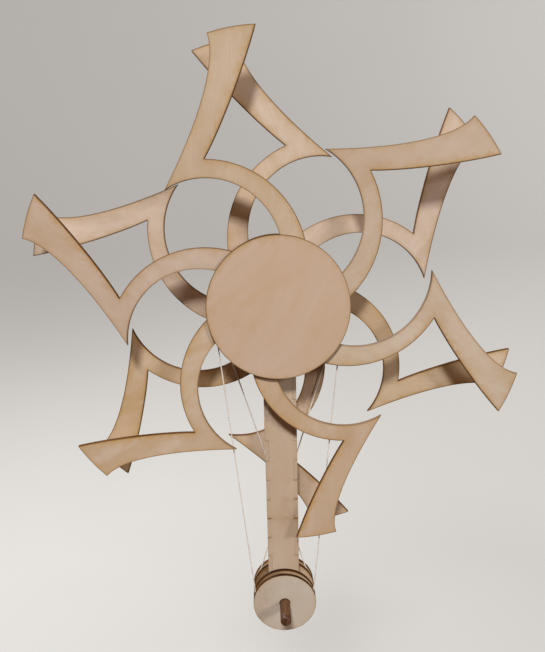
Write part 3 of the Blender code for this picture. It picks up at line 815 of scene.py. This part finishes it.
def tip_soot(strength, seed):
    """A yellow-brown cast near the arm's sharp tip, its notch and one corner of the blade."""
    rng = np.random.default_rng(seed)
    tip = polar(BAND_IN_C, BAND_IN_R, TIP_ANGLE) * TIP_RADIUS
    notch = polar(BAND_OUT_C, BAND_OUT_R, NOTCH_ANGLE) * TIP_RADIUS
    corner = (BLADE_END_IN if rng.random() < 0.5 else BLADE_END_OUT) * TIP_RADIUS
    spots = [(tip, 16.0, 0.9), (notch, 12.0, 0.7), (corner, 18.0, rng.uniform(0.4, 0.9))]

    def shape(plane):
        total = np.zeros(len(plane))
        for at, reach, share in spots:
            d2 = (plane[:, 0] - at.x) ** 2 + (plane[:, 1] - at.y) ** 2
            total += share * np.exp(-d2 / (reach * reach))
        return strength * np.clip(total, 0.0, 1.0)
    return shape


ARM = arm_outline()
REAR_ARM = mirrored(ARM)
ARM_SENSE = math.copysign(1.0, sum(a.x * b.y - b.x * a.y for a, b in zip(ARM, ARM[1:] + ARM[:1])))


def front_arm_burn(a, b):
    """The air jet drove the smoke to the clockwise side of each front arm; the band took the least heat."""
    mid, run = (a + b) * 0.5, b - a
    outward = Vector((run.y, -run.x)) * (ARM_SENSE / max(run.length, 1e-9))
    facing = outward.dot(Vector((mid.y, -mid.x))) / max(mid.length, 1e-9)
    blade = min(1.0, max(0.0, (mid.length - 80.0) / 40.0))
    return (0.80 + 0.20 * blade) * (0.56 + 0.44 * min(1.0, max(0.0, 0.30 + 0.9 * facing)) ** 1.3)


for k in range(6):
    ob = sheet("front_rotor_arm_%d" % (k + 1), [ARM], 0.0, PLY, FRONT_WOODS[k], 101 + k, key="front_arm",
               turn=FRONT_TURN - 60.0 * k, burn_and_shade=front_arm_burn, warp=arm_warp(301 + k), soot_and_shade=tip_soot(0.30, 501 + k))
    fit(ob, "front_rotor", "birch_ply", "front_arm_%d" % (k + 1))
    ob = sheet("rear_rotor_arm_%d" % (k + 1), [REAR_ARM], REAR_ARM_Y, PLY, REAR_WOODS[(0, 1, 3, 0, 2, 1)[k]], 201 + k,
               key="rear_arm", turn=REAR_TURN - 60.0 * k, burn_and_shade=arm_burn, warp=arm_warp(401 + k, 0.16),
               soot_and_shade=root_soot_and_shade((0.30, 0.16, 0.38, 0.45, 0.60, 0.32)[k]))
    fit(ob, "rear_rotor", "birch_ply", "rear_arm_%d" % (k + 1))

def hub_char_and_shade(a, b):
    """The edge is burnt darker on the upper left of the disc: char, with painted shade added along it."""
    mid = ((a + b) * 0.5).normalized()
    # char, with painted shade, heaviest on the upper left
    return 0.62 + 0.38 * max(0.0, mid.dot(Vector((-0.75, 0.66)))) ** 0.6


fit(sheet("hub_disc_front", [ring_loop(HUB_R, 300)], -PITCH, PLY, HUB_WOOD, 11, grain=58.0, burn_and_shade=hub_char_and_shade), "front_rotor", "birch_ply",
    "hub_cover_disc")
for name, radius, y, body, node, seed in (
        ("front_groove_core", TOP_DRUM_R, PITCH, "front_rotor", "front_pulley_drum", 12),
        ("front_groove_flange", HUB_R, 2 * PITCH, "front_rotor", "front_pulley_flange", 13),
        ("rear_groove_flange", HUB_R, REAR_FLANGE_Y, "rear_rotor", "rear_pulley_flange", 14),
        ("rear_groove_core", TOP_DRUM_R, REAR_DRUM_Y, "rear_rotor", "rear_pulley_drum", 15),
        ("hub_disc_rear", HUB_R, REAR_COVER_Y, "rear_rotor", "rear_hub_disc", 16)):
    fit(sheet(name, [ring_loop(radius, 260), ring_loop(RUNNING_R, 48, hole=True)], y, PLY,
              HUB_WOOD if node == "rear_hub_disc" else PULLEY_WOOD, seed, grain=90.0 + 37.0 * (seed - 11)),
        body, "birch_ply", node)


# ---------------------------------------------------------------- post
def finger_bounds():
    first = math.ceil((POST_BOTTOM - FINGER_START) / FINGER)
    zs = [POST_BOTTOM]
    z = FINGER_START + first * FINGER
    index = first
    while z < POST_TOP - 3.0:
        if z - zs[-1] > 3.0:
            zs.append(z)
        index += 1
        z = FINGER_START + index * FINGER
    zs.append(POST_TOP)
    return zs


def strip_has_finger(index, left):
    return (index % 2 == 0) if left else (index % 2 == 1)


BOUNDS = finger_bounds()
SEAM = 0.06                     # what shows of a glued seam along the grain


def mark_strength(x, z):
    """How hard a finger's end was burnt: hardest low on the post, and uneven from one to the next."""
    i = min(range(len(BOUNDS)), key=lambda k: abs(BOUNDS[k] - z))
    middle, spread = (-168.0, 17.0) if x < 0 else (-162.0, 26.0)
    dwell = math.exp(-((z - middle) / spread) ** 2)
    return 0.26 + 0.60 * dwell + 0.14 * math.sin(i * 2.4 + (1.3 if x < 0 else 0.2)) ** 2


def kerf(index, left):
    """What the beam took from each side at the end of finger number index; no two burn alike."""
    return 0.03 + 0.12 * mark_strength(-1.0 if left else 1.0, BOUNDS[index])



def post_plate_outline():
    wide = POST_W / 2
    narrow = POST_W / 2 - PLY - SEAM

    def edge(left):
        pts = []
        for i in range(len(BOUNDS) - 1):
            inset = strip_has_finger(i, left)
            x = narrow if inset else wide
            z0, z1 = BOUNDS[i], BOUNDS[i + 1]
            sign = 1.0 if inset else -1.0
            if i > 0:
                z0 -= sign * kerf(i, left)
            if i < len(BOUNDS) - 2:
                z1 += sign * kerf(i + 1, left)
            pts += [Vector((x, z0)), Vector((x, z1))]
        return pts

    return tidy(edge(False) + [Vector((-p.x, p.y)) for p in reversed(edge(True))])


def strip_outline(left):
    body_y = POST_FRONT_Y + PLY + SEAM
    profile = [Vector((POST_BACK_Y, BOUNDS[-1])), Vector((POST_BACK_Y, BOUNDS[0]))]
    for i in range(len(BOUNDS) - 1):
        finger = strip_has_finger(i, left)
        y = POST_FRONT_Y if finger else body_y
        z0, z1 = BOUNDS[i], BOUNDS[i + 1]
        sign = -1.0 if finger else 1.0
        if i > 0:
            z0 -= sign * kerf(i, left)
        if i < len(BOUNDS) - 2:
            z1 += sign * kerf(i + 1, left)
        profile += [Vector((y, z0)), Vector((y, z1))]
    return tidy(profile)


def post_soot_and_shadow(plane):
    """Scorch that runs in from each finger's end, the cast along both edges of the post, and a soft patch low on its
    right: a brown smudge with painted shadow of the front arm's blade.
    """
    inward_mm = POST_W / 2 - np.abs(plane[:, 0])
    total = 0.20 * np.exp(-inward_mm / 2.2)
    for i, z in enumerate(BOUNDS[1:-1]):
        for sign in (-1.0, 1.0):
            strength = 1.25 * mark_strength(sign, z)
            reach = 2.0 + 6.5 * mark_strength(sign, z) ** 2
            near = np.where(plane[:, 0] * sign > 0, 1.0, 0.0)
            total += near * strength * np.exp(-np.abs(plane[:, 1] - z) / 1.0) * np.exp(-inward_mm / reach)
    # a brown smudge with painted shadow of the front arm's blade over it
    total += 0.26 * np.exp(-((plane[:, 0] - 3.0) / 7.0) ** 2 - ((plane[:, 1] + 163.0) / 15.0) ** 2)
    return np.clip(total, 0.0, 0.9)


def post_plate_burn(a, b):
    mid, run = (a + b) * 0.5, b - a
    if mid.length < 6.0 or (mid - Vector((0.0, DRIVE_Z))).length < 6.0:
        return 0.8
    if abs(run.y) < abs(run.x):
        return mark_strength(mid.x, mid.y) if abs(mid.x) > 9.0 else 0.8
    return 0.30 if abs(mid.x) > POST_W / 2 - 1.0 else 0.03


def strip_burn(a, b):
    mid, run = (a + b) * 0.5, b - a
    if abs(run.y) < abs(run.x):
        return mark_strength(1.0, mid.y)
    return 0.04 if mid.x < POST_FRONT_Y + 1.0 else 0.45


hole_top = ring_loop(SEAT_R, 48, hole=True)
hole_drive = ring_loop(RUNNING_R, 48, centre=(0.0, DRIVE_Z), hole=True)
fit(sheet("post_face_front", [post_plate_outline(), hole_top, hole_drive], POST_FRONT_Y, PLY, POST_WOOD, 21,
          burn_and_shade=post_plate_burn, soot_and_shade=post_soot_and_shadow, pitch=1.6), "frame", "post_ply", "post_front_plate")
inner = POST_W / 2 - PLY - SEAM
back_loop = tidy([Vector((-inner, POST_BOTTOM)), Vector((inner, POST_BOTTOM)), Vector((inner, POST_TOP)),
                  Vector((-inner, POST_TOP))])
fit(sheet("post_face_back", [back_loop, hole_top, hole_drive], POST_BACK_Y - PLY, PLY, POST_WOOD, 22,
          burn_and_shade=lambda a, b: 0.35), "frame", "post_ply", "post_back_plate")
fit(sheet("post_edge_left", [strip_outline(True)], -POST_W / 2, PLY, STRIP_WOOD, 23, side=True, burn_and_shade=strip_burn),
    "frame", "post_ply", "post_left_strip")
fit(sheet("post_edge_right", [strip_outline(False)], POST_W / 2 - PLY, PLY, STRIP_WOOD, 24, side=True, burn_and_shade=strip_burn),
    "frame", "post_ply", "post_right_strip")


# ---------------------------------------------------------------- axle, washers, support
def washer_profile(inner, outer, y0, thick):
    c = min(0.12, thick * 0.35)
    return [(inner, y0 + c), (inner + c, y0), (inner + 0.5 * (outer - inner), y0 - 0.0), (outer - c, y0),
            (outer, y0 + c), (outer, y0 + thick - c), (outer - c, y0 + thick),
            (inner + 0.5 * (outer - inner), y0 + thick), (inner + c, y0 + thick), (inner, y0 + thick - c)]


for name, y, z, node, seed in (
        ("washer_top_front", POST_FRONT_Y - 0.25 - WASHER_T, 0.0, "front_spacer_washer", 31),
        ("washer_top_rear", POST_BACK_Y + 0.25, 0.0, "rear_spacer_washer", 32),
        ("washer_mount", BOSS_Y - 0.37 - WASHER_T, 0.0, "mount_spacer_washer", 33),
        ("washer_drive_front", POST_FRONT_Y - 0.25 - WASHER_T, DRIVE_Z, "drive_front_washer", 34),
        ("washer_drive_rear", POST_BACK_Y + 0.25, DRIVE_Z, "drive_rear_washer", 35)):
    fit(turned(name, washer_profile(SEAT_R, WASHER_R, y, WASHER_T), 72, FIBRE, seed, centre_z=z), "frame",
        "fibre_washer", node)

fit(sheet("axle_cap", [ring_loop(WASHER_R, 90), ring_loop(SEAT_R, 48, hole=True)], 0.3, 2.1, PALE_WOOD, 36), "frame",
    "pale_ply", "front_retaining_cap")

axle = [(0.0, 0.45), (1.6, 0.45)] + fillet(AXLE_R - 0.5, 0.95, 0.5, -90, 0, 6)
axle += straight((AXLE_R, 0.95), (AXLE_R, BOSS_Y + BOSS_LEN - 0.5), 14)
axle += [(AXLE_R, BOSS_Y + BOSS_LEN - 0.5), (AXLE_R - 0.5, BOSS_Y + BOSS_LEN), (1.6, BOSS_Y + BOSS_LEN), (0.0, BOSS_Y + BOSS_LEN)]
fit(turned("axle_rod", axle, 64, BEECH, 37, wobble=0.006), "frame", "beech_dowel", "main_axle")

boss = [(SEAT_R, BOSS_Y)] + straight((SEAT_R, BOSS_Y), (15.0, BOSS_Y), 5) + [(15.0, BOSS_Y)]
boss += fillet(15.0, BOSS_Y + 1.0, 1.0, -80, 0, 7)
boss += straight((16.0, BOSS_Y + 1.0), (16.0, BOSS_Y + BOSS_LEN), 9)
boss += [(16.0, BOSS_Y + BOSS_LEN), (SEAT_R, BOSS_Y + BOSS_LEN)]
fit(turned("boss_block", boss, 120, BEECH, 38, wobble=0.012), "frame", "beech_dowel", "mount_boss")

plate_loops = [rounded_square(30.0, 5.0, 14)]
for x in (-22.0, 22.0):
    for z in (-22.0, 22.0):
        plate_loops.append(ring_loop(2.2, 32, centre=(x, z), hole=True))
fit(sheet("mount_board", plate_loops, PLATE_Y, PLATE_T, PLATE_WOOD, 39, rows=9), "frame", "birch_ply", "mount_plate")

# ---------------------------------------------------------------- drive pulley
def disc_shade_and_foot_ring(plane):
    """Painted shade over the left half of the drive disc, and a slight darkening round the rod's foot."""
    # painted shade, growing towards the disc's left
    side = np.clip((-plane[:, 0] - 2.0) / 16.0, 0.0, 1.0)
    # a slight darkening round the rod's foot
    foot_ring = np.exp(-(plane ** 2).sum(1) / 60.0)
    return 0.35 * side + 0.08 * foot_ring


def disc_burn(a, b):
    """The axle hole was cut clean; the rim took the heat."""
    return 0.10 if ((a + b) * 0.5).length < 10.0 else 1.0


def groove_shade(plane):
    """Painted shade on the drive pulley's inner layers, growing towards its left."""
    # painted shade, darker towards the left
    left = np.clip((14.0 - plane[:, 0]) / 30.0, 0.0, 1.0)
    return np.clip(0.04 + 0.96 * left, 0.0, 0.95)


drive_centre = (0.0, DRIVE_Z)
for name, radius, y, thick, mat, node, seed, slot in (
        ("drive_face_front", DRIVE_DISC_R, DISC_Y, PLY, PALE_WOOD, "drive_front_disc", 41, "pale_ply"),
        ("drive_core_front", DRIVE_DRUM_R, DISC_Y + PITCH, DRIVE_DRUM_T, PULLEY_WOOD, "drive_front_drum", 42, "birch_ply"),
        ("drive_flange_front", DRIVE_DISC_R, FLANGE_Y, PLY, PULLEY_WOOD, "drive_front_flange", 43, "birch_ply"),
        ("drive_flange_rear", DRIVE_DISC_R, DRIVE_REAR_FLANGE_Y, PLY, PULLEY_WOOD, "drive_rear_flange", 44, "birch_ply"),
        ("drive_core_rear", DRIVE_DRUM_R, DRIVE_REAR_FLANGE_Y + PITCH, DRIVE_DRUM_T, PULLEY_WOOD, "drive_rear_drum", 45,
         "birch_ply"),
        ("drive_face_rear", DRIVE_DISC_R, DRIVE_REAR_DISC_Y, PLY, HUB_WOOD, "drive_rear_disc", 46, "birch_ply")):
    fit(sheet(name, [ring_loop(radius, 180), ring_loop(SEAT_R, 48, hole=True)], y, thick, mat, seed,
              centre=drive_centre, grain=72.0 + 31.0 * (seed - 41), pitch=3.0,
              soot_and_shade=disc_shade_and_foot_ring if node == "drive_front_disc" else None if node == "drive_rear_disc" else groove_shade,
              burn_and_shade=disc_burn if node == "drive_front_disc" else None),
        "drive_pulley", slot, node)

front_end, back_end = DISC_Y - GRIP, DRIVE_REAR_DISC_Y + PLY + 2.5
rod = [(0.0, front_end), (0.9, front_end + 0.01), (1.8, front_end + 0.06)]
rod += [(AXLE_R - 1.4 + 1.4 * math.sin(math.radians(a)), front_end + 1.4 - 1.34 * math.cos(math.radians(a)))
        for a in range(10, 91, 10)]
rod += straight((AXLE_R, front_end + 1.4), (AXLE_R, back_end - 0.6), 30)
rod += [(AXLE_R, back_end - 0.6), (AXLE_R - 0.6, back_end), (1.8, back_end), (0.0, back_end)]
fit(turned("handle_rod", rod, 72, WALNUT, 47, centre_z=DRIVE_Z, wobble=0.010), "drive_pulley", "walnut_dowel",
    "drive_axle")


# ---------------------------------------------------------------- string loops
def arc3(centre_z, radius, y, start, end, steps):
    out = []
    for i in range(steps + 1):
        a = math.radians(start + (end - start) * i / steps)
        out.append(Vector((radius * math.cos(a), y, centre_z + radius * math.sin(a))))
    return out


def strand(a, b, bulge, steps):
    out = []
    for i in range(1, steps):
        t = i / steps
        p = a.lerp(b, t)
        p.y += bulge * math.sin(math.pi * t) ** 2
        out.append(p)
    return out


def open_loop(top_y, drive_y):
    tilt = math.degrees(math.asin((TOP_PATH_R - DRIVE_PATH_R) / -DRIVE_Z))
    over = arc3(0.0, TOP_PATH_R, top_y, -tilt, 180.0 + tilt, 120)
    under = arc3(DRIVE_Z, DRIVE_PATH_R, drive_y, 180.0 + tilt, 360.0 - tilt, 60)
    return over + strand(over[-1], under[0], 0.0, 90) + under + strand(under[-1], over[0], 0.0, 90)


def crossed_loop(top_y, drive_y, bulge):
    tilt = math.degrees(math.asin((TOP_PATH_R + DRIVE_PATH_R) / -DRIVE_Z))
    over = arc3(0.0, TOP_PATH_R, top_y, -tilt, 180.0 + tilt, 130)
    under = arc3(DRIVE_Z, DRIVE_PATH_R, drive_y, tilt, -180.0 - tilt, 80)
    return over + strand(over[-1], under[0], bulge, 90) + under + strand(under[-1], over[0], -bulge, 90)


def twisted_loop(name, path, mat, seed, lay=2.6, strands=3):
    """A closed string of twisted strands that follows path (stack mm)."""
    pts = np.array([tuple(p) for p in path])
    closed = np.vstack((pts, pts[:1]))
    seg = np.sqrt(((closed[1:] - closed[:-1]) ** 2).sum(1))
    along = np.concatenate(([0.0], np.cumsum(seg)))
    total = along[-1]
    count = int(total / 0.36)
    turns = round(total / lay)
    at = np.arange(count) * total / count
    centre = np.stack([np.interp(at, along, closed[:, k]) for k in range(3)], 1)
    tangent = np.roll(centre, -1, 0) - np.roll(centre, 1, 0)
    tangent /= np.sqrt((tangent ** 2).sum(1))[:, None]
    side_y = np.tile(np.array((0.0, 1.0, 0.0)), (count, 1))
    side_y -= tangent * (side_y * tangent).sum(1)[:, None]
    side_y /= np.sqrt((side_y ** 2).sum(1))[:, None]
    side_n = np.cross(tangent, side_y)
    around = 12
    rng = np.random.default_rng(seed)
    thick = 1.0 + 0.05 * np.interp(at, np.linspace(0, total, 60), rng.uniform(-1, 1, 60))
    co, wood, lobe = [], [], []
    for j in range(around):
        a = 2 * math.pi * j / around
        phase = a * strands - 2 * math.pi * turns * at / total
        bump = 0.5 + 0.5 * np.cos(phase)
        r = STRING_R * (0.80 + 0.22 * bump) * thick
        co.append(centre + side_y * (r * math.cos(a))[:, None] + side_n * (r * math.sin(a))[:, None])
        wood.append(np.stack((at, np.full(count, 3.0 * math.cos(a)) + 0.4 * np.cos(phase), np.full(count, 3.0 * math.sin(a))), 1))
        lobe.append(bump)
    co = np.stack(co, 1).reshape(-1, 3)
    wood = np.stack(wood, 1).reshape(-1, 3)
    lobe = np.stack(lobe, 1).reshape(-1)
    faces = []
    for i in range(count):
        k = (i + 1) % count
        for j in range(around):
            m = (j + 1) % around
            faces.append((i * around + j, i * around + m, k * around + m, k * around + j))
    co[:, 1] -= BACK_Y
    mesh = bpy.data.meshes.new(name)
    mesh.from_pydata([tuple(c) for c in co * 0.001], [], faces)
    bm = bmesh.new()
    bm.from_mesh(mesh)
    bmesh.ops.recalc_face_normals(bm, faces=bm.faces[:])
    if bm.calc_volume(signed=True) < 0:
        bmesh.ops.reverse_faces(bm, faces=bm.faces[:])
    bm.to_mesh(mesh)
    bm.free()
    put_vector(mesh, "wood", wood)
    put_vector(mesh, "cut", np.stack((lobe, lobe * 0, lobe * 0), 1))
    mesh.shade_smooth()
    return make(name, mesh, mat)


front_y, front_drive_y = PITCH + PLY / 2, DISC_Y + PITCH + DRIVE_DRUM_T / 2
rear_y, rear_drive_y = REAR_DRUM_Y + PLY / 2, DRIVE_REAR_FLANGE_Y + PITCH + DRIVE_DRUM_T / 2
fit(twisted_loop("string_open", open_loop(front_y, front_drive_y), STRING, 51), "frame", "cream_string", "front_belt")
fit(twisted_loop("string_crossed", crossed_loop(rear_y, rear_drive_y, 0.8), STRING, 52), "frame", "cream_string",
    "rear_belt")


# ---------------------------------------------------------------- room
def cove(name, floor_z, flat, radius, height, steps=28, around=128):
    """A round studio cove: flat floor, curved foot, upright wall and a ceiling with the same curve, all round."""
    profile = [(0.0, floor_z)] + [(flat * i / 6, floor_z) for i in range(1, 7)]
    profile += [(flat + radius * math.sin(math.radians(90 * i / steps)),
                 floor_z + radius * (1 - math.cos(math.radians(90 * i / steps)))) for i in range(1, steps + 1)]
    ceiling = floor_z + radius + height
    profile += [(flat + radius * math.cos(math.radians(90 * i / steps)),
                 ceiling + radius * math.sin(math.radians(90 * i / steps))) for i in range(steps + 1)]
    profile += [(flat * (6 - i) / 6, ceiling + radius) for i in range(1, 6)]
    co, faces = [(0.0, 0.0, floor_z)], []
    for r, z in profile[1:]:
        co += [(r * math.cos(2 * math.pi * i / around), r * math.sin(2 * math.pi * i / around), z) for i in range(around)]
    for i in range(around):
        faces.append((0, 1 + i, 1 + (i + 1) % around))
    for k in range(len(profile) - 2):
        for i in range(around):
            j = (i + 1) % around
            a, b = 1 + k * around, 1 + (k + 1) * around
            faces.append((a + i, b + i, b + j, a + j))
    last, top = 1 + (len(profile) - 2) * around, len(co)
    co.append((0.0, 0.0, ceiling + radius))
    for i in range(around):
        faces.append((last + i, top, last + (i + 1) % around))
    mesh = bpy.data.meshes.new(name)
    mesh.from_pydata(co, [], faces)
    mesh.shade_smooth()
    p = Paint("pale_paper", 0.9, 0.1)
    at = p.node("ShaderNodeNewGeometry").outputs["Position"]
    cloud = p.noise(p.scaled(at, (1.4, 1.4, 1.4)), 1.0, 3.0, 0.5, 0.3)
    p.wire(p.colours(cloud, (0.35, (0.360, 0.366, 0.364)), (0.65, (0.370, 0.376, 0.374))), p.bsdf.inputs["Base Color"])
    p.bsdf.inputs["Emission Color"].default_value = (0.95, 0.935, 0.905, 1.0)
    p.bsdf.inputs["Emission Strength"].default_value = 0.22
    tooth = p.noise(p.scaled(at, (420.0, 420.0, 420.0)), 1.0, 2.0, 0.5, 0.0)
    p.wire(p.bump(tooth, 0.0002, 0.25), p.bsdf.inputs["Normal"])
    ob = make(name, mesh, p.mat)
    ob.visible_diffuse = False      # the paper throws no light back, so the shadows stay as deep as in a dim room
    ob.visible_glossy = False
    ob.visible_shadow = False       # the lamps stand outside the paper and shine in through it
    ob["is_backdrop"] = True
    return ob


cove("studio_cove", -0.95, 1.3, 0.9, 1.6)


def area_light(name, towards, distance, size, power, colour, aim=(0.0, -0.03, -0.08)):
    """A square soft light whose centre lies at distance from aim in the direction towards."""
    data = bpy.data.lights.new(name, "AREA")
    data.shape = "SQUARE"
    data.size = size
    data.energy = power
    data.color = colour
    ob = bpy.data.objects.new(name, data)
    d = Vector(towards).normalized()
    ob.location = Vector(aim) + d * distance
    ob.rotation_euler = d.to_track_quat("Z", "Y").to_euler()
    ob.visible_camera = False
    bpy.context.scene.collection.objects.link(ob)
    return ob


area_light("key", (-0.12, -1.0, 1.1), 4.0, 0.60, 134.0, (1.0, 0.985, 0.955))
area_light("side", (0.95, -1.0, 0.52), 3.4, 0.66, 35.0, (1.0, 0.965, 0.93))
area_light("back", (-0.5, 1.0, 0.8), 3.4, 1.6, 120.0, (1.0, 0.99, 0.97))
area_light("left", (-1.0, 0.22, 0.30), 3.4, 1.2, 34.0, (1.0, 0.99, 0.97))

world = bpy.data.worlds.new("soft_room")
world.use_nodes = True
background = world.node_tree.nodes["Background"]
background.inputs["Color"].default_value = (1.0, 0.60, 0.40, 1.0)
background.inputs["Strength"].default_value = 0.15
bpy.context.scene.world = world
bpy.context.scene.view_settings.view_transform = "Standard"
bpy.context.scene.view_settings.look = "None"

# ---------------------------------------------------------------- camera
x_axis = Vector((0.999558, -0.016310, -0.024836)).normalized()
z_axis = Vector((-0.009873, -0.970692, 0.240120))
z_axis = (z_axis - x_axis * z_axis.dot(x_axis)).normalized()
y_axis = z_axis.cross(x_axis)
turn = Matrix((x_axis, y_axis, z_axis)).transposed().to_4x4()
camera_data = bpy.data.cameras.new("camera")
camera_data.sensor_fit = "AUTO"
camera_data.sensor_width = 36.0
camera_data.lens = 31.727
camera_data.shift_y = 0.0575
camera_data.clip_start = 0.01
camera_data.clip_end = 20.0
camera_data.dof.use_dof = False
camera = bpy.data.objects.new("camera", camera_data)
camera.matrix_world = Matrix.Translation((-0.008905, -0.441447, 0.058142)) @ turn
bpy.context.scene.collection.objects.link(camera)
bpy.context.scene.camera = camera

bpy.context.view_layer.update()
{"cad": cad_bounds, "visual": plain(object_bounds())}
